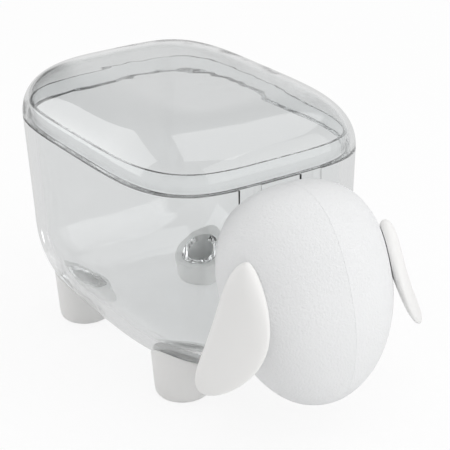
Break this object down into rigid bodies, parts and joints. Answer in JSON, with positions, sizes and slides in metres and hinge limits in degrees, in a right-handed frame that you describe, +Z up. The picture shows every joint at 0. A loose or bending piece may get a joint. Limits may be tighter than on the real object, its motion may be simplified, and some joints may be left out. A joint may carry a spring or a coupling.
{
  "type": "lidded swab box",
  "caption": "Clear lidded box shaped like a standing lamb, with a white head, ears and legs, for cotton swabs.",
  "frame": {"origin": "on the standing surface, under the middle of the bounding box of the whole object", "axes": "+Z up, -Y towards the head, +X to the right seen from the front with the head nearest"},
  "size_m": [0.0718, 0.1268, 0.0799],
  "materials": {
    "clear_plastic": "clear, polished",
    "head_white": "matte, fine spark-eroded grain",
    "trim_white": "smooth satin"
  },
  "bodies": {
    "box": {"tub": "clear_plastic", "head_left_shell": "head_white", "head_right_shell": "head_white", "neck_bracket": "trim_white", "ear_left": "trim_white", "ear_right": "trim_white", "leg_front_left": "trim_white", "leg_front_right": "trim_white", "leg_rear_left": "trim_white", "leg_rear_right": "trim_white"},
    "lid": {"lid": "clear_plastic"}
  },
  "joints": [
    {"name": "lid_lift", "type": "slide", "parent": "box", "child": "lid", "axis": [0, 0, 1], "range_m": [0, 0.06]}
  ]
}
